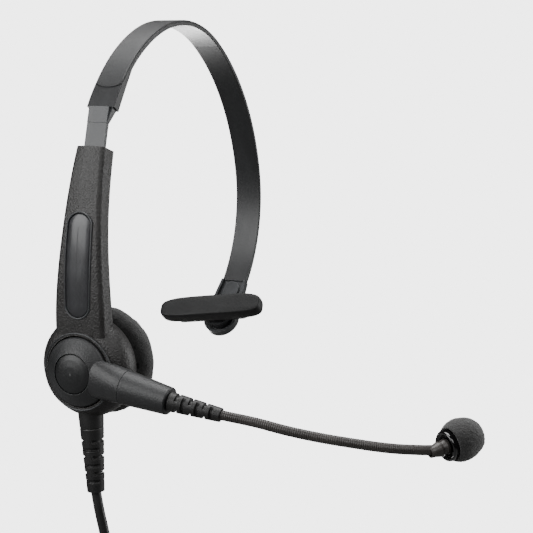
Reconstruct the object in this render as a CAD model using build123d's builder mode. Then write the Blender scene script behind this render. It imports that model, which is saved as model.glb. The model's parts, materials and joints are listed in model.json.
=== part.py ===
from build123d import *
from math import asin, cos, degrees, radians, sin, tan
import os

os.makedirs("parts", exist_ok=True)

# Single-sided headset. The origin is the centre of the ear cushion's contact face, +X points
# inward through the wearer's head to the temple pad, -Y is the wearer's front, +Z is up.

# ---- driving dimensions, mm ----
CUSHION_R = 23.0
CUSHION_DEPTH = 10.6
BAFFLE_R = 19.0
BAFFLE_X = -8.0
BAFFLE_BACK_X = -9.8
SPLIT_X = -14.0
BODY_R = 21.5
BODY_FRONT_X = -26.0
ROOF_X = -22.6
RECESS_X = -24.2

BOSS_Z = -1.0
BOSS_R = 14.7
BEZEL_R = 16.4
BEZEL_X = -27.0
CAP_R = 8.3
CAP_X = -31.4
AXLE_R = 4.95
AXLE_END_X = -20.4
LEAD_BORE_R = 3.4

ARM_X = -26.8
BOOM_DROP = 9.8
ARM_END = 23.4
COLLAR_END = 44.4
RELIEF_END = 66.6
ARM_END_R = 7.2
COLLAR_END_R = 5.7
RELIEF_R = 4.1
RELIEF_TIP_R = 2.9
RELIEF_TOE_IN = 7.0

GOOSE_R = 2.0
GOOSE_GAP = 0.8
MIC_CUP_R = 5.4
WINDSCREEN_R = 8.8
WINDSCREEN_LENGTH = 20.0
WINDSCREEN_MIDDLE = 12.3

STEM_X = -26.7
STEM_FOOT_Z = 24.0
STEM_ARC_R = 212.0
STEM_TOP_Z = 92.0
STEM_COVER = 1.5
INLAY_LOW = 21.5
INLAY_HIGH = 65.2
INLAY_W = 12.0
INLAY_DEPTH = 0.9
SCREW_HEIGHTS = (30.0, 50.0)

STRIP_W = 9.6
STRIP_T = 1.8
STRIP_LEAN = 15.0
STRIP_IN = 22.0
STRIP_OUT = 16.2
STRIP_X = -10.6
CAVITY_LOW = -36.0

BAND_W = 13.4
BAND_T = 1.7
SKIN_W = 12.6
SKIN_T = 0.7
SLEEVE_T = 4.6
SLEEVE_LENGTH = 22.0
BAND_START = (-6.4, 107.7)
BAND_HEADING = 59.0
BAND_ARCS = ((76.9, 40.5), (60.6, 51.3), (99.8, 45.6), (65.7, 52.4))

END_R = 8.7
END_LENGTH = 22.3
END_T = 1.8
RIM_HEIGHT = 3.6
BALL_R = 3.5
BALL_HEIGHT = 5.2
SOCKET_R = 6.0
PAD_LENGTH = 53.0
PAD_HEIGHT = 11.6
PAD_T = 7.0
PAD_BACK = 10.3
PAD_ROLL = 9.5

CORD_R = 2.2
BOOT_TOP = (-18.5, -0.2, -17.0)
BOOT_LEAN = 3.0
BOOT_LENGTH = 37.3
HANK_LOBE_R = 19.0
HANK_LOBE_Z = 25.5
HANK_WAIST = 17.6
HANK_T = 13.2
HANK_CENTRE = (-18.5, -8.4, -137.0)
PLUG_X = -18.5
PLUG_Z = -145.0
PIN_R = 1.75

FIT = 0.1
BOSS_AXIS = Axis((0, 0, BOSS_Z), (1, 0, 0))


def outline_ring(points, axis=Axis.X, rounds=(), mode=Mode.ADD):
    """Revolve a closed (X, Z) outline about a line along X; rounds are (corner number, radius)."""
    with BuildSketch(Plane.XZ) as profile:
        with BuildLine():
            Polyline(*points, close=True)
        make_face()
        for corner, radius in rounds:
            x, z = points[corner]
            vertex = profile.vertices().sort_by_distance((x, z, 0))[0]
            fillet(vertex, radius)
    revolve(profile.sketch, axis=axis, mode=mode)


def boss_ring(points, rounds=(), mode=Mode.ADD):
    """The same for parts on the boom's pivot, with radii counted from its axis."""
    raised = [(x, BOSS_Z + radius) for x, radius in points]
    outline_ring(raised, axis=BOSS_AXIS, rounds=rounds, mode=mode)


# ---------------------------------------------------------------- ear cushion and speaker

with BuildPart() as ear_cushion:
    outline_ring([(0, 0), (0, CUSHION_R), (-CUSHION_DEPTH, CUSHION_R), (-CUSHION_DEPTH, 17.4),
                  (BAFFLE_BACK_X, 17.4), (BAFFLE_BACK_X, BAFFLE_R + FIT), (BAFFLE_X, BAFFLE_R + FIT),
                  (BAFFLE_X, 0)], rounds=((1, 4.2), (2, 3.4)))

with BuildPart() as baffle_plate:
    outline_ring([(BAFFLE_X, 0), (BAFFLE_X, BAFFLE_R), (BAFFLE_BACK_X, BAFFLE_R), (BAFFLE_BACK_X, 0)])
    with BuildSketch(Plane.YZ.offset(BAFFLE_X)):
        Circle(0.9)
        for ring_r, holes in ((3.2, 6), (6.4, 12), (9.6, 18)):
            with PolarLocations(ring_r, holes):
                Circle(0.8)
    extrude(amount=-3, mode=Mode.SUBTRACT)

with BuildPart() as speaker_frame:
    outline_ring([(BAFFLE_BACK_X, 14.0), (BAFFLE_BACK_X, 15.6), (-13.6, 13.8), (-13.6, 7.6), (-12.8, 7.6),
                  (-12.8, 12.8), (-11.2, 14.0)])

with BuildPart() as speaker_cone:
    outline_ring([(-10.2, 13.6), (-10.6, 13.6), (-12.2, 4.6), (-11.2, 2.4), (-11.0, 0), (-10.7, 0),
                  (-10.9, 2.5), (-11.8, 4.6)])

with BuildPart() as voice_coil:
    outline_ring([(-12.3, 4.3), (-12.3, 4.8), (-15.6, 4.8), (-15.6, 4.3)])

with BuildPart() as speaker_magnet:
    outline_ring([(-13.7, 5.2), (-13.7, 8.4), (-17.4, 8.4), (-17.4, 0), (-13.2, 0), (-13.2, 3.9),
                  (-16.2, 3.9), (-16.2, 5.2)])

with BuildPart() as acoustic_felt:
    outline_ring([(-13.7, 8.8), (-13.7, 13.0), (-14.3, 13.0), (-14.3, 8.8)])

# ---------------------------------------------------------------- stem geometry

STEM_HEIGHTS = (14.0, 30.0, 52.0, 72.0, STEM_TOP_Z)


def stem_width(z):
    return min(24.2, 23.2 - 0.153 * (z - 31))


def stem_depth(z):
    return 7.5 + 1.0 * ((z - 48) / 42) ** 2


def stem_split(z):
    return stem_depth(z) - STEM_COVER


def stem_plane(z):
    """Section plane of the stem where its outer face is at height z; local +Y points outward."""
    lean = asin((z - STEM_FOOT_Z) / STEM_ARC_R)
    x = STEM_X + STEM_ARC_R * (1 - cos(lean))
    return Plane(origin=(x, 0, z), x_dir=(0, 1, 0), z_dir=(sin(lean), 0, cos(lean)))


def stem_front(depth_of, edge=2.4, crown=0.5):
    """Loft the stem from its crowned outer face down to the depth given at each height."""
    sections = []
    for z in STEM_HEIGHTS:
        half = stem_width(z) / 2
        depth = depth_of(z)
        with BuildSketch(stem_plane(z)) as section:
            with BuildLine():
                ThreePointArc((edge - half, -crown), (0, 0), (half - edge, -crown))
                RadiusArc((half - edge, -crown), (half, -crown - edge), edge)
                Polyline((half, -crown - edge), (half, -depth), (-half, -depth), (-half, -crown - edge))
                RadiusArc((-half, -crown - edge), (edge - half, -crown), edge)
            make_face()
        sections.append(section.sketch)
    loft(sections)


def stem_layer(top_of, bottom_of, inset=0.0):
    """Loft a flat layer of the stem between two depths."""
    sections = []
    for z in STEM_HEIGHTS:
        top = top_of(z)
        bottom = bottom_of(z)
        with BuildSketch(stem_plane(z)) as section:
            with Locations((0, -(top + bottom) / 2)):
                Rectangle(stem_width(z) - 2 * inset, bottom - top)
        sections.append(section.sketch)
    loft(sections)


def screw_plane(z):
    """Plane on the stem's inner face at height z; local +Z points out of the face."""
    section = stem_plane(z)
    return Plane(origin=section.origin - section.y_dir * stem_depth(z), x_dir=(0, 1, 0), z_dir=-section.y_dir)


def inlay_slot(width):
    """Keep what lies inside a round-ended prism through the stem's outer face."""
    height = INLAY_HIGH - INLAY_LOW - (INLAY_W - width)
    with BuildSketch(Plane.YZ.offset(-40)) as slot:
        with Locations((0, (INLAY_LOW + INLAY_HIGH) / 2)):
            SlotOverall(height, width, rotation=90)
    extrude(slot.sketch, amount=30, mode=Mode.INTERSECT)


LEAN = radians(STRIP_LEAN)
SLIDE = Plane(origin=(STRIP_X, 0, STEM_TOP_Z), x_dir=(0, 1, 0), z_dir=(sin(LEAN), 0, cos(LEAN)))


def slide_box(width, outward, inward, low, high, mode=Mode.ADD):
    """A box on the strip's line, from outward to inward of its middle plane, low to high along it."""
    with BuildSketch(SLIDE.offset(low)) as section:
        with Locations((0, (outward - inward) / 2)):
            Rectangle(width, outward + inward)
    extrude(section.sketch, amount=high - low, mode=mode)


boot_lean = radians(BOOT_LEAN)
BOOT = Plane(origin=BOOT_TOP, x_dir=(1, 0, 0), z_dir=(0, -sin(boot_lean), -cos(boot_lean)))

# ---------------------------------------------------------------- housing

with BuildPart() as inlay_pocket:
    stem_layer(lambda z: -1.0, lambda z: INLAY_DEPTH + 0.04, inset=1.0)
    inlay_slot(INLAY_W)

with BuildPart() as stem_inlay:
    stem_layer(lambda z: 0.35, lambda z: INLAY_DEPTH, inset=2.0)
    inlay_slot(INLAY_W - 2 * FIT)

with BuildPart() as housing_shell:
    stem_front(stem_split)
    add(inlay_pocket.part, mode=Mode.SUBTRACT)
    with BuildSketch(Plane.XZ):
        with BuildLine():
            side = ThreePointArc((SPLIT_X, 20.4), (-18.4, BODY_R), (-22.6, 20.2))
            dome = TangentArc(side @ 1, (BODY_FRONT_X, 15.8), tangent=side % 1)
            Polyline(dome @ 1, (BODY_FRONT_X, 0), (SPLIT_X, 0), (SPLIT_X, 20.4))
        make_face()
    revolve(axis=Axis.X)
    boss_ring([(RECESS_X, 0), (RECESS_X, BEZEL_R), (BEZEL_X, BEZEL_R), (BEZEL_X, 0)], rounds=((2, 0.7),))
    outline_ring([(-8, 0), (-8, 20.4), (SPLIT_X, 20.4), (SPLIT_X, 18.6), (-20.4, 19.3), (ROOF_X, 17.2),
                  (ROOF_X, 0)], mode=Mode.SUBTRACT)
    boss_ring([(RECESS_X, 0), (RECESS_X, BOSS_R + 0.5), (-30, BOSS_R + 0.5), (-30, 0)], mode=Mode.SUBTRACT)
    boss_ring([(-20, 0), (-20, AXLE_R + 0.06), (-26, AXLE_R + 0.06), (-26, 0)], mode=Mode.SUBTRACT)
    slide_box(STRIP_W + 0.6, 1.2, 1.2, -6, 4, mode=Mode.SUBTRACT)
    slide_box(STRIP_W + 3.2, 1.2, 2.4, CAVITY_LOW, -5.5, mode=Mode.SUBTRACT)
    for height in SCREW_HEIGHTS:
        with Locations(screw_plane(height)):
            Cylinder(1.0, 9, mode=Mode.SUBTRACT)
    with Locations(BOOT):
        Cylinder(5.6, 12, mode=Mode.SUBTRACT)

with BuildPart() as stem_back:
    stem_layer(stem_split, stem_depth)
    outline_ring([(-5, 0), (-5, BODY_R + 0.4), (-28, BODY_R + 0.4), (-28, 0)], mode=Mode.SUBTRACT)
    for height in SCREW_HEIGHTS:
        with Locations(screw_plane(height)):
            CounterSinkHole(1.1, 2.0, depth=6)
    slide_box(STRIP_W + 0.6, 1.2, 1.2, -6, 4, mode=Mode.SUBTRACT)
    slide_box(STRIP_W + 3.2, 1.2, 2.4, CAVITY_LOW, -5.5, mode=Mode.SUBTRACT)

with BuildPart() as housing_back:
    outline_ring([(SPLIT_X, 14.4), (SPLIT_X, 20.4), (-12.6, 19.0), (-11.4, 17.0), (BAFFLE_BACK_X, 17.0),
                  (BAFFLE_BACK_X, 15.9), (-13.2, 15.9), (-13.2, 14.4)])
    with Locations(BOOT):
        Cylinder(5.7, 12, mode=Mode.SUBTRACT)

with BuildPart() as housing_screws:
    for height in SCREW_HEIGHTS:
        with Locations(screw_plane(height)):
            Cylinder(1.0, 4.4, align=(Align.CENTER, Align.CENTER, Align.MAX))
            with Locations((0, 0, -0.5)):
                Cone(1.0, 1.9, 0.9)
                with Locations((0, 0, 0.5)):
                    Box(2.2, 0.45, 0.7, mode=Mode.SUBTRACT)
                    Box(0.45, 2.2, 0.7, mode=Mode.SUBTRACT)

with BuildPart() as terminal_board:
    with Locations((-19.6, 0, -13.0)):
        Box(1.0, 12.0, 5.0)
    with Locations((-18.8, -3.6, -13.0), (-18.8, 0, -13.0), (-18.8, 3.6, -13.0)):
        Box(0.6, 1.6, 3.0)

with BuildPart() as friction_washer:
    boss_ring([(ROOF_X, AXLE_R + FIT), (ROOF_X, 7.6), (ROOF_X + 0.5, 7.6), (ROOF_X + 0.5, AXLE_R + FIT)])

# ---------------------------------------------------------------- boom

drop = radians(BOOM_DROP)
BOOM = Plane(origin=(ARM_X, 0, BOSS_Z), x_dir=(1, 0, 0), z_dir=(0, -cos(drop), -sin(drop)))

with BuildPart() as boom_boss:
    with BuildSketch(BOOM.offset(4)):
        Ellipse(4.5, 9.2)
    with BuildSketch(BOOM.offset(ARM_END)):
        Circle(ARM_END_R)
    loft()
    # the arm's underside follows the housing's recess and dome with a small gap
    boss_ring([(-10, 0), (-10, 16), (RECESS_X - 0.3, 16), (RECESS_X - 0.3, 0)], mode=Mode.SUBTRACT)
    boss_ring([(-10, BOSS_R), (-10, 26), (-16.0, 24.0), (-20.4, 23.2), (-23.4, 22.0), (-26.0, 18.2),
               (BEZEL_X - 0.4, 17.2), (BEZEL_X - 0.4, BOSS_R)], mode=Mode.SUBTRACT)
    boss_ring([(RECESS_X - 0.3, 0), (RECESS_X - 0.3, BOSS_R), (BEZEL_X - 0.8, BOSS_R), (-30.4, 10.8),
               (CAP_X - 0.2, 8.8), (CAP_X - 0.2, 0)], rounds=((2, 1.4), (3, 3.0)))
    boss_ring([(-50, 0), (-50, CAP_R + 0.25), (CAP_X + 2, CAP_R + 0.25), (CAP_X + 2, 0)], mode=Mode.SUBTRACT)
    boss_ring([(AXLE_END_X, 0), (AXLE_END_X, AXLE_R), (-26, AXLE_R), (-26, 0)])
    boss_ring([(-10, 0), (-10, LEAD_BORE_R), (-40, LEAD_BORE_R), (-40, 0)], mode=Mode.SUBTRACT)
    boss_ring([(ROOF_X + 0.7, 4.2), (ROOF_X + 0.7, 6), (ROOF_X + 1.6, 6), (ROOF_X + 1.6, 4.2)],
              mode=Mode.SUBTRACT)
    with Locations(BOOM.offset(ARM_END)):
        Cylinder(LEAD_BORE_R - 1, 2 * ARM_END - 10, mode=Mode.SUBTRACT)

with BuildPart() as retaining_clip:
    boss_ring([(ROOF_X + 0.8, 4.25), (ROOF_X + 0.8, 6.8), (ROOF_X + 1.5, 6.8), (ROOF_X + 1.5, 4.25)])
    with Locations((ROOF_X + 1, 0, BOSS_Z - 5.5)):
        Box(3, 4.0, 6.0, mode=Mode.SUBTRACT)

with BuildPart() as pivot_cap:
    boss_ring([(CAP_X + 2, 0), (CAP_X + 2, CAP_R), (CAP_X, CAP_R), (CAP_X - 0.9, 6.4), (CAP_X - 1.5, 3.4),
               (CAP_X - 1.7, 0)], rounds=((2, 0.5), (3, 4.0), (4, 6.0)))

with BuildPart() as boom_collar:
    with BuildSketch(BOOM.offset(ARM_END + 0.2)):
        Circle(ARM_END_R)
    with BuildSketch(BOOM.offset(COLLAR_END)):
        Circle(COLLAR_END_R)
    loft()
    fillet(boom_collar.edges().sort_by(Axis.Y)[0], 0.6)
    with Locations(BOOM.offset(COLLAR_END)):
        Cylinder(1.0, 2 * (COLLAR_END - ARM_END), mode=Mode.SUBTRACT)

toe_in = radians(RELIEF_TOE_IN)
relief_start = BOOM.offset(COLLAR_END).origin
RELIEF = Plane(origin=relief_start, x_dir=(cos(toe_in), sin(toe_in), 0),
               z_dir=(sin(toe_in), -cos(toe_in) * cos(drop), -cos(toe_in) * sin(drop)))
relief_length = RELIEF_END - COLLAR_END

with BuildPart() as boom_strain_relief:
    with BuildSketch(RELIEF):
        Circle(RELIEF_R)
    with BuildSketch(RELIEF.offset(relief_length)):
        Circle(RELIEF_TIP_R)
    loft()
    for rib in range(1, 4):
        along = rib * relief_length / 4
        with BuildSketch(RELIEF.offset(along)):
            Circle(RELIEF_R + 1)
            Circle(RELIEF_R - 0.8 - 0.25 * rib, mode=Mode.SUBTRACT)
        extrude(amount=1.0, mode=Mode.SUBTRACT)
    with Locations(BOOM.offset(COLLAR_END - 5)):
        Cylinder(20, 10, mode=Mode.SUBTRACT)

# joints of the gooseneck, from the strain relief to the microphone
GOOSE_POINTS = (RELIEF.offset(relief_length).origin, Vector(-21.6, -79.2, -14.2), Vector(-19.3, -92.0, -16.6),
                Vector(-16.0, -104.6, -18.7), Vector(-11.4, -116.4, -20.6), Vector(-5.4, -127.0, -22.6),
                Vector(1.0, -136.0, -24.0), Vector(8.0, -144.8, -24.8))


def along_plane(start, end):
    """Plane at start whose +Z points to end."""
    return Plane(origin=start, z_dir=end - start)


def goose_length(start, end, first_gap, last_gap):
    run = along_plane(start, end)
    length = (end - start).length - first_gap - last_gap
    with Locations(run.offset(first_gap)):
        Cylinder(GOOSE_R, length, align=(Align.CENTER, Align.CENTER, Align.MIN))


goosenecks = []
last = len(GOOSE_POINTS) - 2
for number in range(last + 1):
    with BuildPart() as goose:
        goose_length(GOOSE_POINTS[number], GOOSE_POINTS[number + 1],
                     0.3 if number == 0 else GOOSE_GAP / 2, 1.0 if number == last else GOOSE_GAP / 2)
    goosenecks.append(goose)

# ---------------------------------------------------------------- microphone

MIC = along_plane(GOOSE_POINTS[-1], GOOSE_POINTS[-1] + Vector(0.80, -0.50, 0.17))


def mic_ring(points, mode=Mode.ADD):
    """Revolve a (radius, distance) outline about the microphone's axis."""
    with BuildSketch(Plane(origin=MIC.origin, x_dir=MIC.x_dir, z_dir=-MIC.y_dir)) as profile:
        with BuildLine():
            Polyline(*points, close=True)
        make_face()
    revolve(profile.sketch, axis=Axis(MIC.origin, MIC.z_dir), mode=mode)


with BuildPart() as mic_sleeve:
    mic_ring([(0, 0), (2.1, 0), (2.4, 1.6), (3.1, 3.4), (3.1, 4.4), (0, 4.4)])

with BuildPart() as mic_cup:
    mic_ring([(0, 4.4), (3.3, 4.4), (3.3, 6.0), (4.5, 6.0), (4.5, 4.6), (5.0, 4.2), (MIC_CUP_R, 4.6),
              (MIC_CUP_R, 11.0), (4.4, 11.0), (4.4, 7.0), (0, 7.0)])

with BuildPart() as mic_capsule:
    mic_ring([(0, 7.2), (4.3, 7.2), (4.3, 10.2), (3.3, 10.2), (3.3, 10.6), (0, 10.6)])

with BuildPart() as windscreen:
    with BuildSketch(Plane(origin=MIC.origin, x_dir=MIC.x_dir, z_dir=-MIC.y_dir)):
        with Locations((0, WINDSCREEN_MIDDLE)):
            Ellipse(WINDSCREEN_R, WINDSCREEN_LENGTH / 2)
        with Locations((-20, WINDSCREEN_MIDDLE), (0, 5.2 - 20)):
            Rectangle(40, 40, mode=Mode.SUBTRACT)
        Rectangle(2 * (MIC_CUP_R + FIT), 2 * 11.2, mode=Mode.SUBTRACT)
    revolve(axis=Axis(MIC.origin, MIC.z_dir))

# ---------------------------------------------------------------- headband

with BuildPart() as slider_strip:
    slide_box(STRIP_W, STRIP_T / 2, STRIP_T / 2, -STRIP_IN, STRIP_OUT)
    for notch in range(7):
        low = 4 - STRIP_IN + 2.4 * notch
        slide_box(4.0, -0.6, 1.0, low, low + 0.8, mode=Mode.SUBTRACT)

with BuildPart() as slider_stop:
    slide_box(STRIP_W + 2.4, 1.1, 1.5, 0.2 - STRIP_IN, 4 - STRIP_IN)
    slide_box(STRIP_W, STRIP_T / 2, STRIP_T / 2, -40, 0, mode=Mode.SUBTRACT)
    slide_box(4.6, -0.8, 2.0, -40, 0, mode=Mode.SUBTRACT)

with BuildPart() as detent_spring:
    slide_box(3.6, -1.7, 2.1, -30, -8)
    slide_box(3.6, -1.1, 2.1, -20, -19)


def band_frame(arc_number, degrees_along, inset=0.0):
    """Frame on the band's outer face: local X is across it, local Y points outward, local Z runs along."""
    x, z = BAND_START
    turned = radians(BAND_HEADING)
    for number, (radius, turn) in enumerate(BAND_ARCS):
        centre_x = x + radius * sin(turned)
        centre_z = z - radius * cos(turned)
        turned -= radians(degrees_along if number == arc_number else turn)
        x = centre_x - radius * sin(turned)
        z = centre_z + radius * cos(turned)
        if number == arc_number:
            break
    origin = (x + inset * sin(turned), 0, z - inset * cos(turned))
    return Plane(origin=origin, x_dir=(0, 1, 0), z_dir=(cos(turned), 0, sin(turned)))


def band_sweep(width, thickness, inset, edge):
    """Sweep a rounded section round the head; inset is how far its middle lies inside the outer face."""
    with BuildLine() as path:
        for number, (radius, turn) in enumerate(BAND_ARCS):
            ThreePointArc(*(band_frame(number, share * turn, inset).origin for share in (0, 0.5, 1)))
    with BuildSketch(band_frame(0, 0, inset)) as section:
        RectangleRounded(width, thickness, edge)
    sweep(section.sketch, path=path.line)


with BuildPart() as headband_skin:
    band_sweep(SKIN_W, SKIN_T, SKIN_T / 2, 0.2)
    # the skin starts a little way up, with a rounded end
    skin_frame = band_frame(0, 8.0)
    tongue = Plane(origin=skin_frame.origin, x_dir=(0, 1, 0), z_dir=skin_frame.y_dir)
    with BuildSketch(tongue):
        with Locations((0, 16)):
            Rectangle(30, 40)
        with Locations((0, -10.5)):
            Circle(11.5, mode=Mode.SUBTRACT)
    extrude(amount=6, both=True, mode=Mode.SUBTRACT)

with BuildPart() as headband:
    band_sweep(BAND_W, BAND_T, SKIN_T + BAND_T / 2, 0.4)
    # the thick sleeve that holds the strip, fading into the band
    sleeve_turn = degrees(SLEEVE_LENGTH / BAND_ARCS[0][0])
    for share, top, bottom in ((0.0, 0.1, SLEEVE_T), (0.45, 0.3, 4.2), (1.0, SKIN_T, SKIN_T + BAND_T)):
        with BuildSketch(band_frame(0, share * sleeve_turn)):
            with Locations((0, -(top + bottom) / 2)):
                RectangleRounded(BAND_W, bottom - top, 0.4)
    loft()
    slide_box(STRIP_W, STRIP_T / 2, STRIP_T / 2, 0, STRIP_OUT, mode=Mode.SUBTRACT)
    add(headband_skin.part, mode=Mode.SUBTRACT)

with BuildPart() as strip_collar:
    with BuildSketch(SLIDE.offset(STRIP_OUT - 7.0)):
        Rectangle(STRIP_W + 0.1, STRIP_T + 0.1)
    with BuildSketch(band_frame(0, 0)):
        with Locations((0, -SLEEVE_T / 2)):
            Rectangle(STRIP_W + 2.2, SLEEVE_T - 1.4)
    loft()
    slide_box(STRIP_W, STRIP_T / 2, STRIP_T / 2, 0, STRIP_OUT + 4, mode=Mode.SUBTRACT)

# ---------------------------------------------------------------- temple pad on its ball joint

band_end = band_frame(len(BAND_ARCS) - 1, BAND_ARCS[-1][1])
# local X is across the band, local Y runs down to its tip, local Z points at the wearer's head
BRACKET = Plane(origin=band_end.origin, x_dir=(0, 1, 0), z_dir=-band_end.y_dir)

with BuildPart() as pad_bracket:
    for height, margin, mode in ((0, 0, Mode.ADD), (END_T, 1.3, Mode.SUBTRACT)):
        with BuildSketch(BRACKET.offset(height)):
            with BuildLine():
                Polyline((margin - BAND_W / 2, 0.1), (BAND_W / 2 - margin, 0.1), (END_R - margin, END_LENGTH),
                         (margin - END_R, END_LENGTH), close=True)
            make_face()
            with Locations((0, END_LENGTH)):
                Circle(END_R - margin)
        extrude(amount=RIM_HEIGHT - height, mode=mode)
    with Locations(BRACKET):
        with Locations((0, END_LENGTH, END_T)):
            Cylinder(SOCKET_R, 4.6, align=(Align.CENTER, Align.CENTER, Align.MIN))
        with Locations((0, END_LENGTH, BALL_HEIGHT)):
            Sphere(BALL_R + FIT, mode=Mode.SUBTRACT)

with BuildPart() as bracket_latch:
    with BuildSketch(BRACKET.offset(END_T)):
        with Locations((0, 7.0)):
            SlotOverall(12.0, 8.0, rotation=90)
    extrude(amount=1.0)

with BuildPart() as ball_stud:
    with Locations(BRACKET):
        with Locations((0, END_LENGTH, BALL_HEIGHT)):
            Sphere(BALL_R)
            Cylinder(1.6, PAD_BACK - BALL_HEIGHT - 0.3, align=(Align.CENTER, Align.CENTER, Align.MIN))

pad_roll = radians(PAD_ROLL)
PAD = Plane(origin=BRACKET.from_local_coords((0.8, END_LENGTH + 0.8, 0)),
            x_dir=BRACKET.x_dir * cos(pad_roll) + BRACKET.y_dir * sin(pad_roll), z_dir=BRACKET.z_dir)

with BuildPart() as pad_plate:
    with BuildSketch(PAD.offset(PAD_BACK - 1.5)):
        SlotOverall(40.0, 9.0)
    extrude(amount=1.5)
    with Locations(BRACKET):
        with Locations((0, END_LENGTH, PAD_BACK)):
            Cylinder(1.6 + 0.05, 12, mode=Mode.SUBTRACT)

with BuildPart() as temple_pad:
    with BuildSketch(PAD.offset(PAD_BACK)):
        RectangleRounded(PAD_LENGTH, PAD_HEIGHT, PAD_HEIGHT / 2 - 0.3)
    extrude(amount=PAD_T)
    fillet(temple_pad.faces().sort_by(Axis(PAD.origin, PAD.z_dir))[-1].edges(), 2.4)

# ---------------------------------------------------------------- cord

with BuildPart() as cord_boot:
    with BuildSketch(BOOT):
        Circle(5.6)
    with BuildSketch(BOOT.offset(12)):
        Circle(5.2)
    with BuildSketch(BOOT.offset(BOOT_LENGTH)):
        Circle(3.6)
    loft(ruled=True)
    for along in (18.0, 25.0, 32.0):
        with BuildSketch(BOOT.offset(along)):
            Circle(8)
            Circle(2.9, mode=Mode.SUBTRACT)
        extrude(amount=1.2, mode=Mode.SUBTRACT)
    with Locations(BOOT.offset(BOOT_LENGTH)):
        Cylinder(CORD_R + 0.4, 6, mode=Mode.SUBTRACT)

boot_end = BOOT.offset(BOOT_LENGTH + 0.4).origin
hank_top = Vector(HANK_CENTRE[0], HANK_CENTRE[1], HANK_CENTRE[2] + HANK_LOBE_Z + HANK_LOBE_R + 0.2)
CORD_ROUTE = [
    tuple(boot_end), (-18.4, -3.3, -62.0), (-18.2, -6.0, -73.0), (-18.4, -8.0, -84.0), tuple(hank_top),
]


def tube(route, radius):
    """A round tube along straight runs with the largest tangent arcs they leave room for."""
    points = [Vector(*place) for place in route]
    radii = []
    for before, here, after in zip(points, points[1:], points[2:]):
        turn = radians((here - before).get_angle(after - here))
        radii.append(0.45 * min((here - before).length, (after - here).length) / tan(turn / 2))
    with BuildLine() as path:
        if radii:
            FilletPolyline(*points, radius=radii)
        else:
            Line(*points)
    with BuildSketch(Plane(origin=points[0], z_dir=points[1] - points[0])) as section:
        Circle(radius)
    sweep(section.sketch, path=path.line)
    length = sum(edge.length for edge in path.line.edges())
    print("cord radii", [round(r, 1) for r in radii], "length", round(length, 1))


with BuildPart() as cord:
    tube(CORD_ROUTE, CORD_R)

HANK = Plane(origin=HANK_CENTRE, x_dir=(1, 0, 0), z_dir=(0, -1, 0))

with BuildPart() as cord_hank:
    with BuildSketch(HANK.offset(-HANK_T / 2)) as hank_outline:
        with Locations((0, HANK_LOBE_Z), (0, -HANK_LOBE_Z)):
            Circle(HANK_LOBE_R)
        Rectangle(HANK_WAIST, 2 * HANK_LOBE_Z)
        fillet(hank_outline.vertices(), 5.0)
    extrude(amount=HANK_T)

with BuildPart() as hank_tie:
    with BuildSketch(Plane(origin=HANK_CENTRE).offset(-4.5)):
        Rectangle(HANK_WAIST + 2.4, HANK_T + 2.4)
        Rectangle(HANK_WAIST, HANK_T, mode=Mode.SUBTRACT)
    extrude(amount=9)

# the plug hangs behind the hank, on the tail that leaves its back face
hank_back_y = HANK_CENTRE[1] + HANK_T / 2
PLUG = Plane(origin=(PLUG_X, hank_back_y + 6.2, PLUG_Z), x_dir=(1, 0, 0), z_dir=(0, 0, -1))
TAIL_ROUTE = [(PLUG_X, hank_back_y + 0.1, PLUG_Z + 24.0), (PLUG_X, hank_back_y + 3.6, PLUG_Z + 16.0),
              (PLUG_X, hank_back_y + 6.2, PLUG_Z + 7.0), tuple(PLUG.origin)]

with BuildPart() as cord_tail:
    tube(TAIL_ROUTE, CORD_R)
    with Locations((PLUG_X, hank_back_y - 5, PLUG_Z + 15)):
        Box(10, 10, 30, mode=Mode.SUBTRACT)


def plug_ring(points, mode=Mode.ADD):
    """Revolve a (radius, distance) outline about the plug's axis, downwards."""
    with BuildSketch(Plane(origin=PLUG.origin, x_dir=(1, 0, 0), z_dir=(0, 1, 0))) as profile:
        with BuildLine():
            Polyline(*points, close=True)
        make_face()
    revolve(profile.sketch, axis=Axis(PLUG.origin, (0, 0, -1)), mode=mode)


with BuildPart() as plug_boot:
    plug_ring([(0, 0), (2.9, 0), (3.4, 10), (3.4, 12), (0, 12)])
with BuildPart() as plug_body:
    plug_ring([(0, 12), (4.2, 12), (4.5, 13), (4.5, 26), (3.6, 27.5), (2.6, 28), (0, 28)])
with BuildPart() as plug_pin:
    plug_ring([(0, 28), (PIN_R, 28), (PIN_R, 30.6), (1.4, 30.6), (1.4, 31.0), (PIN_R, 31.0), (PIN_R, 33.2),
               (1.4, 33.2), (1.4, 33.6), (PIN_R, 33.6), (PIN_R, 39.4), (1.1, 40.2), (1.5, 41.2), (0.7, 42),
               (0, 42)])
with BuildPart() as plug_insulators:
    plug_ring([(1.4, 30.6), (PIN_R, 30.6), (PIN_R, 31.0), (1.4, 31.0)])
    plug_ring([(1.4, 33.2), (PIN_R, 33.2), (PIN_R, 33.6), (1.4, 33.6)])

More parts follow.
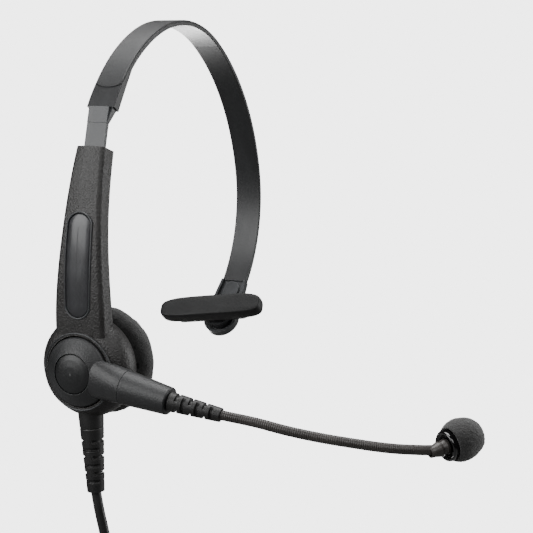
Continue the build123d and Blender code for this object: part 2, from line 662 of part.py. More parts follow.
PIECES = {
    "ear_cushion": ear_cushion, "baffle_plate": baffle_plate, "speaker_frame": speaker_frame,
    "speaker_cone": speaker_cone, "voice_coil": voice_coil, "speaker_magnet": speaker_magnet,
    "acoustic_felt": acoustic_felt, "housing_shell": housing_shell, "housing_back": housing_back,
    "stem_back": stem_back, "stem_inlay": stem_inlay, "housing_screws": housing_screws,
    "terminal_board": terminal_board,
    "friction_washer": friction_washer, "retaining_clip": retaining_clip, "boom_boss": boom_boss,
    "pivot_cap": pivot_cap, "boom_collar": boom_collar, "boom_strain_relief": boom_strain_relief,
    "mic_sleeve": mic_sleeve, "mic_cup": mic_cup, "mic_capsule": mic_capsule, "windscreen": windscreen,
    "slider_strip": slider_strip, "slider_stop": slider_stop, "detent_spring": detent_spring,
    "headband": headband, "headband_skin": headband_skin, "strip_collar": strip_collar,
    "pad_bracket": pad_bracket, "bracket_latch": bracket_latch, "ball_stud": ball_stud,
    "pad_plate": pad_plate, "temple_pad": temple_pad, "cord_boot": cord_boot, "cord": cord,
    "cord_hank": cord_hank, "hank_tie": hank_tie, "cord_tail": cord_tail, "plug_boot": plug_boot,
    "plug_body": plug_body, "plug_pin": plug_pin, "plug_insulators": plug_insulators,
}
for number, goose in enumerate(goosenecks, start=1):
    PIECES[f"gooseneck_{number}"] = goose

for name, piece in PIECES.items():
    piece.part.label = name
    export_step(piece.part, f"parts/{name}.step")
print("ball centre", BRACKET.from_local_coords((0, END_LENGTH, BALL_HEIGHT)), "pad normal", BRACKET.z_dir)
print("pad face", PAD.offset(PAD_BACK + PAD_T).origin, "mic", MIC.origin)
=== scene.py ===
"""Office headset: finishes, soft parts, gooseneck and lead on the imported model.
Lengths are in metres."""

import json
import math

import bmesh
import bpy
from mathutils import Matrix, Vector, noise


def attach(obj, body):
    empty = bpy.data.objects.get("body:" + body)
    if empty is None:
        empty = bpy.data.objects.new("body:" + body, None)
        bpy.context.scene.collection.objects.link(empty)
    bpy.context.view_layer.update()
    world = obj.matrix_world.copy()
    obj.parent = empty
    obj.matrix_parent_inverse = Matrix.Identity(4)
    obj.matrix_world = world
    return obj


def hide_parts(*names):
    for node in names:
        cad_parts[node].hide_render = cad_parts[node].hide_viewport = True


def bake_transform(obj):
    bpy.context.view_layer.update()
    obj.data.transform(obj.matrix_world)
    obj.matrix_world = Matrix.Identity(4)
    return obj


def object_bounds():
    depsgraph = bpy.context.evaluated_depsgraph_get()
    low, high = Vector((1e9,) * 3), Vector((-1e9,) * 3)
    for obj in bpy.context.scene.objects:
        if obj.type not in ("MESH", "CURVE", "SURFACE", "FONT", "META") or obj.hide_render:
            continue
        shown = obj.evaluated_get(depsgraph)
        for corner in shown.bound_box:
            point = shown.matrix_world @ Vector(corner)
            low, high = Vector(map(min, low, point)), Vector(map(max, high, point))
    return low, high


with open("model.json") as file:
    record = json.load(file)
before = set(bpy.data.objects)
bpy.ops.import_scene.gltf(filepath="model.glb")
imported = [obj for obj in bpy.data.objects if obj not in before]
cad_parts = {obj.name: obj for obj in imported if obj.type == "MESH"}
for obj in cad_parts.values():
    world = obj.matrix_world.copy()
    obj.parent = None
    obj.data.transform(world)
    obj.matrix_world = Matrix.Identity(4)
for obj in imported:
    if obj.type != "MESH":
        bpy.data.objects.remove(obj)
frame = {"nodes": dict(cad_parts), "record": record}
cad_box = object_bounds()

# ---------------------------------------------------------------- camera

LOOK_AT = Vector((0.1513, 0.0, 0.0179))
AZIMUTH = math.radians(-64)
ELEVATION = math.radians(9)
CAMERA_AWAY = 0.721
back = Vector((
    math.sin(AZIMUTH) * math.cos(ELEVATION),
    -math.cos(AZIMUTH) * math.cos(ELEVATION),
    math.sin(ELEVATION),
))
camera = bpy.data.objects.new("camera", bpy.data.cameras.new("camera"))
camera.location = LOOK_AT + CAMERA_AWAY * back
camera.rotation_mode = "QUATERNION"
camera.rotation_quaternion = (-back).to_track_quat("-Z", "Y")
camera.data.lens = 92.2
camera.data.sensor_width = 36
camera.data.clip_end = 20
bpy.context.collection.objects.link(camera)
bpy.context.scene.camera = camera


# ---------------------------------------------------------------- materials

def node(tree, kind, **values):
    """A new shader node; values name its inputs, and attributes where there is no such input."""
    made = tree.nodes.new(kind)
    for name, value in values.items():
        key = name.replace("_", " ").title()
        if key in made.inputs:
            made.inputs[key].default_value = value
        else:
            setattr(made, name, value)
    return made


def ramp(tree, source, low, high, to_low, to_high):
    """source from low..high mapped to to_low..to_high."""
    made = tree.nodes.new("ShaderNodeMapRange")
    made.inputs["From Min"].default_value = low
    made.inputs["From Max"].default_value = high
    made.inputs["To Min"].default_value = to_low
    made.inputs["To Max"].default_value = to_high
    tree.links.new(source, made.inputs["Value"])
    return made.outputs["Result"]


COAT_ROUGH = 0.12
SHEEN_ROUGH = 0.6
BROAD_SCALE = 90.0      # patches of uneven colour and polish, per metre
PATCH_DARK = 0.82
PATCH_LIGHT = 1.2
CELL_SCALE = 0.8        # pebbles per grain
CELL_HEIGHT = 1.2       # against the grain's own height
EDGE_HIGHLIGHT_REACH = 0.0007     # width of the highlight painted along an edge


def finish(name, colour, rough, grain, depth, cells=False, edge=0.0, stretch=(1, 1, 1),
           metal=0.0, coat=0.0, sheen=0.0, bevel=0.0, specular=0.5):
    """A moulded, foamed or drawn surface: grain size, depth and bevel in metres, edge the
    strength of the highlight painted along its edges."""
    material = bpy.data.materials.new(name)
    material.use_nodes = True
    tree = material.node_tree
    link = tree.links.new
    shader = tree.nodes["Principled BSDF"]
    shader.inputs["Metallic"].default_value = metal
    shader.inputs["Coat Weight"].default_value = coat
    shader.inputs["Coat Roughness"].default_value = COAT_ROUGH
    shader.inputs["Sheen Weight"].default_value = sheen
    shader.inputs["Sheen Roughness"].default_value = SHEEN_ROUGH
    shader.inputs["Specular IOR Level"].default_value = specular
    place = tree.nodes.new("ShaderNodeTexCoord").outputs["Object"]
    if stretch != (1, 1, 1):
        mapping = tree.nodes.new("ShaderNodeMapping")
        mapping.inputs["Scale"].default_value = stretch
        link(place, mapping.inputs["Vector"])
        place = mapping.outputs["Vector"]
    fine = node(tree, "ShaderNodeTexNoise", scale=1 / grain, detail=4.0, roughness=0.6)
    broad = node(tree, "ShaderNodeTexNoise", scale=BROAD_SCALE, detail=5.0, roughness=0.6)
    link(place, fine.inputs["Vector"])
    link(place, broad.inputs["Vector"])
    height = fine.outputs["Fac"]
    if cells:
        pebble = node(tree, "ShaderNodeTexVoronoi", feature="SMOOTH_F1", scale=CELL_SCALE / grain,
                      smoothness=0.35)
        link(place, pebble.inputs["Vector"])
        both = node(tree, "ShaderNodeMath", operation="MULTIPLY_ADD")
        link(pebble.outputs["Distance"], both.inputs[0])
        both.inputs[1].default_value = CELL_HEIGHT
        link(height, both.inputs[2])
        height = both.outputs[0]
    bump = node(tree, "ShaderNodeBump", strength=1.0, distance=depth)
    link(height, bump.inputs["Height"])
    if bevel > 0:
        round_edge = node(tree, "ShaderNodeBevel", samples=4, radius=bevel)
        link(round_edge.outputs["Normal"], bump.inputs["Normal"])
    link(bump.outputs["Normal"], shader.inputs["Normal"])
    roughness = ramp(tree, broad.outputs["Fac"], 0.3, 0.7, rough - 0.05, rough + 0.06)
    link(roughness, shader.inputs["Roughness"])
    mottle = node(tree, "ShaderNodeMix", data_type="RGBA")
    mottle.inputs["A"].default_value = (*(PATCH_DARK * c for c in colour), 1)
    mottle.inputs["B"].default_value = (*(PATCH_LIGHT * c for c in colour), 1)
    link(ramp(tree, broad.outputs["Fac"], 0.35, 0.65, 0.0, 1.0), mottle.inputs["Factor"])
    shown = mottle.outputs["Result"]
    # painted highlight: the colour is lightened where the bevelled normal turns from the true one,
    # broken up by the grain
    if edge > 0:
        corner = node(tree, "ShaderNodeBevel", samples=6, radius=EDGE_HIGHLIGHT_REACH)
        facing = node(tree, "ShaderNodeVectorMath", operation="DOT_PRODUCT")
        geometry = tree.nodes.new("ShaderNodeNewGeometry")
        link(corner.outputs["Normal"], facing.inputs[0])
        link(geometry.outputs["Normal"], facing.inputs[1])
        edge_highlight_mask = node(tree, "ShaderNodeMath", operation="MULTIPLY")
        link(ramp(tree, facing.outputs["Value"], 0.995, 0.85, 0.0, 1.0), edge_highlight_mask.inputs[0])
        link(ramp(tree, fine.outputs["Fac"], 0.35, 0.6, 0.3, 1.0), edge_highlight_mask.inputs[1])
        painted_edge_highlight = node(tree, "ShaderNodeMix", data_type="RGBA")
        painted_edge_highlight.inputs["B"].default_value = (*(min(1, c * (1 + edge)) for c in colour), 1)
        link(edge_highlight_mask.outputs[0], painted_edge_highlight.inputs["Factor"])
        link(shown, painted_edge_highlight.inputs["A"])
        shown = painted_edge_highlight.outputs["Result"]
    link(shown, shader.inputs["Base Color"])
    return material


# name, colour, roughness, grain size, grain depth, and what else the finish has
LOOKS = {}
for name, colour, rough, grain, depth, more in (
    ("shell_plastic", (0.0185, 0.0176, 0.0170), 0.43, 0.0006, 0.00013,
     dict(cells=True, edge=1.6, bevel=0.0004)),
    ("boom_plastic", (0.0180, 0.0186, 0.0194), 0.44, 0.0005, 0.00006,
     dict(cells=True, edge=1.2, bevel=0.0003)),
    ("cap_plastic", (0.0110, 0.0115, 0.0122), 0.42, 0.0005, 0.00003, {}),
    ("gloss_inlay", (0.0290, 0.0300, 0.0330), 0.36, 0.0009, 0.000004,
     dict(coat=0.25, edge=0.8, bevel=0.0002)),
    ("strip_plastic", (0.0330, 0.0348, 0.0372), 0.36, 0.0004, 0.00001,
     dict(edge=0.8, stretch=(1, 1, 0.2), bevel=0.0002)),
    ("band_plastic", (0.0165, 0.0170, 0.0180), 0.42, 0.0006, 0.000006,
     dict(edge=0.8, stretch=(0.4, 1, 0.4), bevel=0.0002)),
    ("band_skin", (0.0150, 0.0156, 0.0165), 0.5, 0.0005, 0.000012, dict(edge=0.6, bevel=0.0002)),
    ("slide_plastic", (0.0240, 0.0245, 0.0255), 0.4, 0.0005, 0.00001, {}),
    ("inner_plastic", (0.0067, 0.0067, 0.0067), 0.6, 0.0005, 0.00002, {}),
    ("gloss_black", (0.0025, 0.0025, 0.0027), 0.12, 0.0012, 0.000003, dict(coat=0.8)),
    ("black_rubber", (0.0105, 0.0103, 0.0102), 0.5, 0.00035, 0.00003, dict(edge=0.8)),
    ("pad_rubber", (0.0100, 0.0103, 0.0106), 0.55, 0.0005, 0.00004, dict(cells=True, specular=0.3)),
    ("gooseneck_skin", (0.0400, 0.0355, 0.0330), 0.38, 0.0004, 0.00001, {}),
    ("cord_jacket", (0.0130, 0.0128, 0.0128), 0.38, 0.0006, 0.00001, {}),
    ("cushion_foam", (0.0046, 0.0046, 0.0046), 0.85, 0.00045, 0.00022,
     dict(cells=True, sheen=0.25)),
    ("mic_foam", (0.0060, 0.0057, 0.0055), 0.85, 0.0004, 0.0002, dict(cells=True, sheen=0.25)),
    ("felt", (0.09, 0.09, 0.09), 0.9, 0.0003, 0.0001, dict(sheen=0.4)),
    ("steel", (0.5, 0.5, 0.51), 0.3, 0.0003, 0.00001, dict(metal=1.0, stretch=(0.1, 1, 1))),
    ("copper", (0.7, 0.33, 0.16), 0.3, 0.0003, 0.00002, dict(metal=1.0, stretch=(4, 0.3, 0.3))),
    ("board", (0.02, 0.13, 0.05), 0.35, 0.0008, 0.00001, dict(coat=0.3)),
    ("tie_plastic", (0.0059, 0.0059, 0.0059), 0.5, 0.0004, 0.00003, dict(edge=0.5)),
    ("plug_plastic", (0.0067, 0.0067, 0.0069), 0.3, 0.0005, 0.00001, dict(edge=0.6)),
    ("pin_metal", (0.85, 0.62, 0.26), 0.2, 0.0004, 0.000004, dict(metal=1.0, stretch=(1, 1, 4))),
    ("insulator", (0.0050, 0.0050, 0.0050), 0.35, 0.0005, 0.00001, {}),
):
    LOOKS[name] = finish(name, colour, rough, grain, depth, **more)
SLOTS = {part["node"]: part["material_slot"] for part in frame["record"]["subparts"]}


def dress(piece, slot, body):
    """Gives a new piece its finish and the body it moves with."""
    piece.data.materials.append(LOOKS[slot])
    if body:
        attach(piece, body)


for part, cad in frame["nodes"].items():
    cad.data.materials.clear()
    cad.data.materials.append(LOOKS["cap_plastic" if part == "pivot_cap" else SLOTS[part]])


# ---------------------------------------------------------------- mesh helpers

def solid(name, rings, caps=(True, True), closed=False):
    """A smooth mesh through rings of points, each ring as long as the next."""
    build = bmesh.new()
    rows = [[build.verts.new(point) for point in ring] for ring in rings]
    if closed:
        rows.append(rows[0])
    for low, high in zip(rows, rows[1:]):
        for one in range(len(low)):
            two = (one + 1) % len(low)
            build.faces.new((low[one], low[two], high[two], high[one]))
    if caps[0]:
        build.faces.new(rows[0][::-1])
    if caps[1]:
        build.faces.new(rows[-1])
    bmesh.ops.recalc_face_normals(build, faces=build.faces)
    for face in build.faces:
        face.smooth = True
    mesh = bpy.data.meshes.new(name)
    build.to_mesh(mesh)
    build.free()
    piece = bpy.data.objects.new(name, mesh)
    bpy.context.collection.objects.link(piece)
    return piece


def sides(axis, up=Vector((0, 0, 1))):
    """Two unit vectors square to axis."""
    first = (up - up.dot(axis) * axis).normalized()
    return first, axis.cross(first)


def turned(name, origin, axis, outline, around, caps=(True, True), radius_at=None, closed=False):
    """A turned piece: outline is (radius, distance along axis); radius_at may vary the radius."""
    one, two = sides(axis, Vector((1, 0, 0)) if abs(axis.x) < 0.9 else Vector((0, 0, 1)))
    rings = []
    for radius, along in outline:
        ring = []
        for step in range(around):
            angle = 2 * math.pi * step / around
            here = radius_at(radius, along, angle) if radius_at else radius
            outward = math.cos(angle) * one + math.sin(angle) * two
            ring.append(origin + along * axis + here * outward)
        rings.append(ring)
    return solid(name, rings, caps, closed)


def roughen(piece, size, amount, seed=0.0):
    """Moves a foam piece's points in and out a little, in lumps of the given size."""
    normals = [vertex.normal.copy() for vertex in piece.data.vertices]
    for vertex, normal in zip(piece.data.vertices, normals):
        vertex.co += normal * amount * noise.noise(vertex.co / size + Vector((seed, seed, seed)))


def arc(centre, radius, start, end, steps):
    """Points of a round edge in an outline, angles in degrees."""
    return [(centre[0] + radius * math.cos(math.radians(start + (end - start) * n / steps)),
             centre[1] + radius * math.sin(math.radians(start + (end - start) * n / steps)))
            for n in range(steps + 1)]


# the twelve corners of a small round bead
ROUND = [(math.cos(math.pi * step / 6), math.sin(math.pi * step / 6)) for step in range(12)]


def ease(value):
    """0 to 1 smoothly."""
    value = max(0.0, min(1.0, value))
    return value * value * (3 - 2 * value)


# ---------------------------------------------------------------- lead

CORD_R = 0.0022
route = [Vector(point) for point in (
    (-0.0185, -0.00217, -0.05465), (-0.0184, -0.0033, -0.062), (-0.0182, -0.0060, -0.073),
    (-0.0184, -0.0080, -0.084), (-0.0185, -0.0084, -0.0923),
)]
# the put-away length: a tied figure of eight, six turns round the hank's middle
HANK = Vector((-0.0185, -0.0084, -0.137))
LOBE_Z = 0.0255
PASS_FROM = 11          # the station from which a turn passes on to the next one
PASS_STEPS = 4
# each turn's radius round a lobe, distance from the middle at the waist, and layer
TURNS = ((0.0176, 0.0066, 0.0), (0.0132, 0.0024, 0.0), (0.0132, 0.0024, -0.0044),
         (0.0176, 0.0066, -0.0044), (0.0176, 0.0066, 0.0044), (0.0132, 0.0024, 0.0044))
stations = ([("top", angle) for angle in (50, 10, -30)] + [("waist", 1)]
            + [("low", angle) for angle in (30, -10, -50, -90, -130, -170, -210)] + [("waist", -1)]
            + [("top", angle) for angle in (210, 170, 130, 90)])
for number, (lobe, waist, layer) in enumerate(TURNS):
    onward = TURNS[min(number + 1, len(TURNS) - 1)]
    for place, (kind, value) in enumerate(stations):
        pass_on = ease((place - PASS_FROM) / PASS_STEPS)
        radius = lobe + (onward[0] - lobe) * pass_on
        depth = layer + (onward[2] - layer) * pass_on
        if kind == "waist":
            offset = Vector((value * waist, depth, 0))
        else:
            centre = LOBE_Z if kind == "top" else -LOBE_Z
            angle = math.radians(value)
            offset = Vector((radius * math.cos(angle), depth, centre + radius * math.sin(angle)))
        route.append(HANK + offset)
route += [Vector(point) for point in (
    (-0.0090, -0.0040, -0.1060), (-0.0100, -0.0036, -0.1150), (-0.0170, -0.0020, -0.1210),
    (-0.0185, 0.0010, -0.1280), (-0.0185, 0.0044, -0.1360), (-0.0185, 0.0044, -0.1450),
)]
line = bpy.data.curves.new("lead", "CURVE")
line.dimensions = "3D"
spline = line.splines.new("NURBS")
spline.points.add(len(route) - 1)
for point, place in zip(spline.points, route):
    point.co = (*place, 1)
spline.order_u = 3
spline.use_endpoint_u = True
line.bevel_depth = CORD_R
line.bevel_resolution = 5
line.resolution_u = 8
line.use_fill_caps = True
lead = bpy.data.objects.new("lead", line)
bpy.context.collection.objects.link(lead)
dress(lead, "cord_jacket", "housing")
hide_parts("cord", "cord_hank", "cord_tail")

# ---------------------------------------------------------------- stem inlay

STEM_FOOT = Vector((-0.0267, 0, 0.024))
STEM_ARC = 0.212
STEM_HALF = 0.009
STEM_CROWN = 0.0005
INLAY_MIDDLE = 0.04335
INLAY_STRAIGHT = 0.01585
INLAY_HALF = 0.0055
INLAY_EDGE = 0.0053
INLAY_CROWN = 0.00062
RIM_HALF = 0.00605
RIM_R = 0.00045


def on_stem(across, height, above):
    """A point on the stem's outer face: across it, at a height, and above the face."""
    lean_here = math.asin((height - STEM_FOOT.z) / STEM_ARC)
    out = Vector((-math.cos(lean_here), 0, math.sin(lean_here)))
    crown = -STEM_CROWN * (across / STEM_HALF) ** 2
    foot = Vector((STEM_FOOT.x + STEM_ARC * (1 - math.cos(lean_here)), across, height))
    return foot + (above + crown) * out, out


def slot_ring(half, above, count=120):
    """A round-ended loop on the stem's face, half as wide on each side of its middle line."""
    ring = []
    for step in range(count):
        angle = 2 * math.pi * step / count
        c, s = math.cos(angle), math.sin(angle)
        height = INLAY_MIDDLE + math.copysign(INLAY_STRAIGHT, s) * min(1, abs(s) * 4) + half * s
        ring.append((half * c, height, above))
    return ring


inlay_rows = [(INLAY_HALF, -0.0008), (INLAY_HALF, -0.0003)]
for step in range(17):
    half = INLAY_EDGE * (1 - step / 16) + 0.00006
    inlay_rows.append((half, INLAY_CROWN * (1 - (half / (INLAY_EDGE + 0.0001)) ** 3)))
inlay = solid("inlay_strip", [[on_stem(*place)[0] for place in slot_ring(*row)]
                              for row in inlay_rows])
dress(inlay, "gloss_inlay", "housing")
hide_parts("stem_inlay")

rim_rings = []
loop = slot_ring(RIM_HALF, 0.0)
for number, place in enumerate(loop):
    centre, out = on_stem(*place)
    ahead = on_stem(*loop[(number + 1) % len(loop)])[0]
    behind = on_stem(*loop[number - 1])[0]
    across = (ahead - behind).normalized().cross(out)
    rim_rings.append([centre + RIM_R * (c * out + s * across) for c, s in ROUND])
rim = solid("inlay_rim", rim_rings, caps=(False, False), closed=True)
dress(rim, "strip_plastic", "housing")

# ---------------------------------------------------------------- bezel round the boom's boss

BEZEL = Vector((-0.0269, 0, -0.001))
CREST_AT = 0.0162
CREST_R = 0.00036
crest = turned("bezel_crest", BEZEL, Vector((-1, 0, 0)),
               [(CREST_AT + CREST_R * c, CREST_R * s) for c, s in ROUND],
               160, caps=(False, False), closed=True)
dress(crest, "strip_plastic", "housing")

# ---------------------------------------------------------------- strain reliefs

SLOT_HALF = 0.00075
SLOT_DEPTH = 0.0011
SLOT_REACH = 0.72       # share of a quarter turn that a slot runs each way
SLOT_FADE = 0.06        # share over which a slot's end rises to the surface
SLOT_EDGE = 0.00018
STEP_HALF = 0.0003
STEP_DEPTH = 0.00035
STEP_EDGE = 0.00015
LIP = 0.0001


def relief(name, origin, axis, length, start, end, notches, step=None):
    """A moulded strain relief: a tapered sleeve with slots on alternate sides and, where step says,
    a groove round it. start and end are its radii."""
    rows = 220
    outline = [(start + (end - start) * row / rows, length * row / rows) for row in range(rows + 1)]
    outline[0] = (start - 0.0004, 0.0)
    bore = CORD_R * 0.95
    outline += [(end - 0.0006, length + LIP), (bore, length), (bore, length - 0.002)]

    def radius_at(radius, along, angle):
        if along > length - LIP:
            return radius
        for number, notch in enumerate(notches):
            middle = (angle - math.pi / 2 * (number % 2)) % math.pi
            reach = abs(middle - math.pi / 2) / (math.pi / 2)
            within = ease((SLOT_REACH - reach) / SLOT_FADE)
            near = ease((SLOT_HALF - abs(along - notch)) / SLOT_EDGE)
            radius -= SLOT_DEPTH * within * near
        if step:
            radius -= STEP_DEPTH * ease((STEP_HALF - abs(along - step)) / STEP_EDGE)
        return radius

    return turned(name, origin, axis, outline, 96, caps=(False, False), radius_at=radius_at)


BOOT_TOP = Vector((-0.0185, -0.0002, -0.0170))
BOOT_LEAN = math.radians(3)
boot_axis = Vector((0, -math.sin(BOOT_LEAN), -math.cos(BOOT_LEAN)))
boot = relief("lead_boot", BOOT_TOP, boot_axis, length=0.0373, start=0.0056, end=0.0037,
              notches=(0.0150, 0.0185, 0.0220, 0.0255, 0.0290, 0.0325), step=0.0095)
dress(boot, "black_rubber", "housing")
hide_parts("cord_boot")

# ---------------------------------------------------------------- boom

DROP = math.radians(9.8)
TOE_IN = math.radians(7)
BOOM_PIVOT = Vector((-0.0268, 0, -0.001))
COLLAR_END = 0.0444
RELIEF_LENGTH = 0.0222
boom_axis = Vector((0, -math.cos(DROP), -math.sin(DROP)))
relief_axis = Vector((
    math.sin(TOE_IN),
    -math.cos(TOE_IN) * math.cos(DROP),
    -math.cos(TOE_IN) * math.sin(DROP),
))
relief_start = BOOM_PIVOT + COLLAR_END * boom_axis
relief_end = relief_start + RELIEF_LENGTH * relief_axis
sleeve = relief("boom_relief", relief_start, relief_axis, RELIEF_LENGTH, start=0.0041, end=0.0029,
                notches=(0.0035, 0.0065, 0.0095, 0.0125, 0.0155, 0.0185))
dress(sleeve, "black_rubber", "boom")
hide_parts("boom_strain_relief")

# the gooseneck's six hinges, then the microphone's origin and the way it points
JOINTS = [Vector(point) for point in (
    (-0.0216, -0.0792, -0.0142), (-0.0193, -0.0920, -0.0166), (-0.0160, -0.1046, -0.0187),
    (-0.0114, -0.1164, -0.0206), (-0.0054, -0.1270, -0.0226), (0.0010, -0.1360, -0.0240),
)]
MIC = Vector((0.0080, -0.1448, -0.0248))
MIC_AXIS = Vector((0.80, -0.50, 0.17)).normalized()
neck = [relief_end - 0.001 * relief_axis, *JOINTS, MIC + 0.0006 * MIC_AXIS]
# two points beyond the ends, which give the curve its direction there
steer = (neck[0] - 0.012 * relief_axis, MIC + 0.010 * MIC_AXIS)


def neck_point(value):
    """A point of the gooseneck's smooth centre line: 1 to 6 are its hinges."""
    number = min(int(value), len(neck) - 2)
    part = value - number
    a, b, c, d = [steer[0], *neck, steer[1]][number:number + 4]
    return 0.5 * ((2 * b) + (c - a) * part + (2 * a - 5 * b + 4 * c - d) * part ** 2
                  + (3 * b - a - 3 * c + d) * part ** 3)


NECK_R = 0.00205
NECK_SIDES = 28
RIB = 0.00085
RIB_DEPTH = 0.00022
PLAIN_END = 0.012
PER_JOINT = 200         # rings from one hinge to the next
last_sample = 7 * PER_JOINT
samples = [neck_point(sample / PER_JOINT) for sample in range(last_sample + 1)]
lengths = [0.0]
for before, after in zip(samples, samples[1:]):
    lengths.append(lengths[-1] + (after - before).length)


def neck_ring(sample):
    """A ring of the ribbed skin; its spiral ribs die away into the plain end at the microphone."""
    ahead = samples[min(sample + 1, last_sample)]
    behind = samples[max(sample - 1, 0)]
    one, two = sides((ahead - behind).normalized())
    plain = ease((lengths[sample] - (lengths[-1] - PLAIN_END)) / 0.004)
    ring = []
    for step in range(NECK_SIDES):
        angle = 2 * math.pi * step / NECK_SIDES
        wave = abs(math.sin(math.pi * lengths[sample] / RIB - angle / 2))
        radius = NECK_R - RIB_DEPTH * (1 - wave) ** 2 * (1 - plain)
        ring.append(samples[sample] + radius * (math.cos(angle) * one + math.sin(angle) * two))
    return ring


for joint in range(1, 7):
    first = 0 if joint == 1 else PER_JOINT * joint - PER_JOINT // 2
    last = last_sample if joint == 6 else PER_JOINT * joint + PER_JOINT // 2
    rings = [neck_ring(sample) for sample in range(first, last + 1)]
    skin = solid(f"gooseneck_skin_{joint}", rings, caps=(joint == 1, joint == 6))
    dress(skin, "gooseneck_skin", None)
    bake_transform(skin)
    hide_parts(f"gooseneck_{joint}", *(["gooseneck_7"] if joint == 6 else []))

# ---------------------------------------------------------------- foam and pads

FOAM_R = 0.0087
FOAM_HALF = 0.0099
FOAM_MIDDLE = 0.0123
FOAM_MOUTH = -37        # degrees from the foam's widest ring; its tip is at 90
FOAM_SWEEP = 127
egg = []
for step in range(41):
    angle = math.radians(FOAM_MOUTH + FOAM_SWEEP * step / 40)
    egg.append((FOAM_R * math.cos(angle), FOAM_MIDDLE + FOAM_HALF * math.sin(angle)))
foam_outline = [(0.0060, 0.0100), (0.0061, 0.0072), (0.0066, 0.0064), *egg[:-1],
                (0.0004, egg[-1][1])]


def egg_radius(radius, along, angle):
    """The foam is a little fuller on its upper side."""
    return radius * (1 + 0.03 * math.cos(angle - 0.6) + 0.02 * math.cos(2 * angle + 1.0))


windscreen = turned("mic_foam", MIC, MIC_AXIS, foam_outline, 96, caps=(False, True),
                    radius_at=egg_radius)
roughen(windscreen, 0.006, 0.00035)
roughen(windscreen, 0.0009, 0.00022, 3.0)
dress(windscreen, "mic_foam", "microphone")
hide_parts("windscreen")

mouth = turned("mic_ring", MIC, MIC_AXIS, [
    (0.0048, 0.0040), (0.0056, 0.0036), (0.0061, 0.0039), (0.0063, 0.0047), (0.0060, 0.0052),
    (0.0060, 0.0062), (0.0062, 0.0068), (0.0059, 0.0085), (0.0054, 0.0085), (0.0050, 0.0060),
], 72, caps=(False, False), closed=True)
dress(mouth, "gloss_black", "microphone")
ferrule = turned("neck_ferrule", MIC, MIC_AXIS, [
    (0.0018, -0.0040), (0.0021, -0.0038), (0.0024, -0.0018), (0.0030, 0.0002), (0.0031, 0.0010),
    (0.0029, 0.0014), (0.0018, 0.0014),
], 48, caps=(False, False), closed=True)
dress(ferrule, "gooseneck_skin", "microphone")

cushion_outline = [
    (0.0006, -0.0010), (0.006, -0.0009), (0.0120, -0.0006),
    *arc((0.0178, -0.0050), 0.0050, 90, 0, 12), *arc((0.0178, -0.0056), 0.0050, 0, -60, 8),
    (0.0188, -0.0100), (0.0120, -0.0104), (0.0006, -0.0104),
]
cushion = turned("ear_foam", Vector((0, 0, 0)), Vector((1, 0, 0)), cushion_outline, 120)
roughen(cushion, 0.006, 0.0005)
roughen(cushion, 0.0012, 0.00025, 5.0)
dress(cushion, "cushion_foam", "housing")
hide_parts("ear_cushion")

PAD_FACE = Vector((0.088057, 0.0008, 0.008346))
PAD_NORMAL = Vector((-0.756995, 0, 0.653421))
PAD_DOWN = Vector((-0.653421, 0, -0.756995))
PAD_ROLL = math.radians(9.5)
PAD_HALF = 0.0265
PAD_RISE = 0.0058
PAD_T = 0.0071
PAD_CROWN = 0.0006
PAD_ENDS = 0.42         # the lower, the squarer
PAD_EDGES = 0.55
# (height above the pad's back, share of the outline it fills)
LAYERS = (
    (0.0, 0.86), (0.0004, 0.93), (0.0014, 0.985), (0.0030, 1.0), (0.0050, 0.995), (0.0062, 0.965),
    (0.0068, 0.92), (0.0071, 0.85), (0.00725, 0.5), (0.0073, 0.2),
)
pad_x = Vector((0, 1, 0)) * math.cos(PAD_ROLL) + PAD_DOWN * math.sin(PAD_ROLL)
pad_y = PAD_NORMAL.cross(pad_x)
rings = []
for height, spread in LAYERS:
    ring = []
    for step in range(160):
        angle = 2 * math.pi * step / 160
        c, s = math.cos(angle), math.sin(angle)
        x = PAD_HALF * math.copysign(abs(c) ** PAD_ENDS, c)
        y = PAD_RISE * math.copysign(abs(s) ** PAD_EDGES, s)
        x -= math.copysign(PAD_RISE * (1 - spread), c) if spread > 0.5 else x * (1 - spread)
        crown = -PAD_CROWN * (x / PAD_HALF) ** 2 * (height / 0.007)
        level = PAD_FACE + (height - PAD_T + crown) * PAD_NORMAL
        ring.append(level + x * pad_x + y * spread * pad_y)
    rings.append(ring)
pad = solid("temple_bar", rings)
roughen(pad, 0.009, 0.0004, 2.0)
pad.modifiers.new("smooth", "SUBSURF").levels = 1
pad.modifiers["smooth"].render_levels = 1
dress(pad, "pad_rubber", "temple_pad_body")
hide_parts("temple_pad")

# ---------------------------------------------------------------- studio

WHITE = 4.2             # the paper as the camera sees it
ROOM = 0.03             # the room's light on the object
PAPER_GREY = 0.12       # the paper's grey for light that falls back on the object
FLOOR_HALF = 6.0

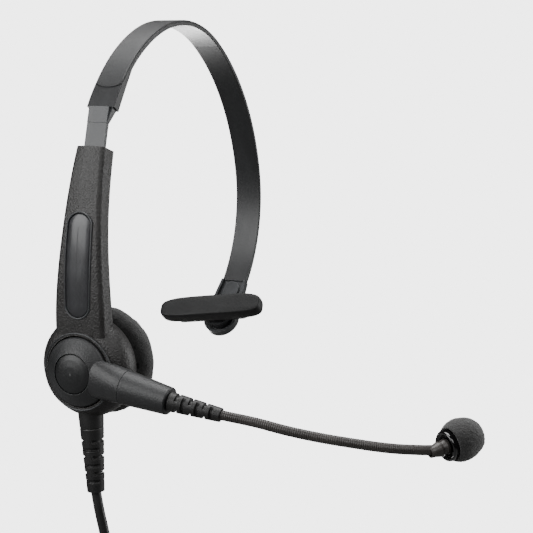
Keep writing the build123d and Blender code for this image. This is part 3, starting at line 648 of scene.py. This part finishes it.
floor_mesh = bpy.data.meshes.new("floor")
low = cad_box[0][2] - 0.0005
corners = [(x * FLOOR_HALF, y * FLOOR_HALF, low) for x, y in ((-1, -1), (1, -1), (1, 1), (-1, 1))]
floor_mesh.from_pydata(corners, [], [(0, 1, 2, 3)])
floor = bpy.data.objects.new("floor", floor_mesh)
bpy.context.collection.objects.link(floor)
paper = bpy.data.materials.new("paper")
paper.use_nodes = True
sheet = paper.node_tree
seen_by_object = sheet.nodes["Principled BSDF"]
seen_by_object.inputs["Base Color"].default_value = (PAPER_GREY, PAPER_GREY, PAPER_GREY, 1)
seen_by_object.inputs["Roughness"].default_value = 0.9
glow = node(sheet, "ShaderNodeEmission", strength=WHITE)
pick = sheet.nodes.new("ShaderNodeMixShader")
sheet.links.new(sheet.nodes.new("ShaderNodeLightPath").outputs["Is Camera Ray"], pick.inputs["Fac"])
sheet.links.new(seen_by_object.outputs["BSDF"], pick.inputs[1])
sheet.links.new(glow.outputs["Emission"], pick.inputs[2])
sheet.links.new(pick.outputs["Shader"], sheet.nodes["Material Output"].inputs["Surface"])
floor_mesh.materials.append(paper)

world = bpy.data.worlds.new("studio")
world.use_nodes = True
sky = world.node_tree
sky.nodes["Background"].inputs["Color"].default_value = (1, 1, 1, 1)
camera_ray = sky.nodes.new("ShaderNodeLightPath").outputs["Is Camera Ray"]
brightness = ramp(sky, camera_ray, 0, 1, ROOM, WHITE)
sky.links.new(brightness, sky.nodes["Background"].inputs["Strength"])
bpy.context.scene.world = world

# the point the light panels face
AIM = Vector((0.04, 0, 0.03))


def softbox(name, heading, width, height, radiance, away=1.0):
    """A rectangular light panel in the given direction, facing the object."""
    light = bpy.data.lights.new(name, "AREA")
    light.shape = "RECTANGLE"
    light.size = width
    light.size_y = height
    light.energy = radiance * math.pi * width * height
    lamp = bpy.data.objects.new(name, light)
    lamp.location = away * Vector(heading).normalized() + AIM
    lamp.visible_camera = False
    lamp.rotation_mode = "QUATERNION"
    lamp.rotation_quaternion = (-Vector(heading)).to_track_quat("-Z", "Y")
    bpy.context.collection.objects.link(lamp)


softbox("left", (-0.85, 0.45, 0.45), 0.8, 0.7, 5.5)
softbox("side", (0.62, -0.76, 0.15), 0.4, 0.7, 7.0)
softbox("top", (0.2, 0.1, 0.97), 0.8, 0.8, 7.5)
softbox("front", (-0.6, -0.6, 0.6), 0.5, 0.5, 4.0)
softbox("low", (0.79, 0.53, -0.30), 0.3, 0.16, 20.0, 0.45)
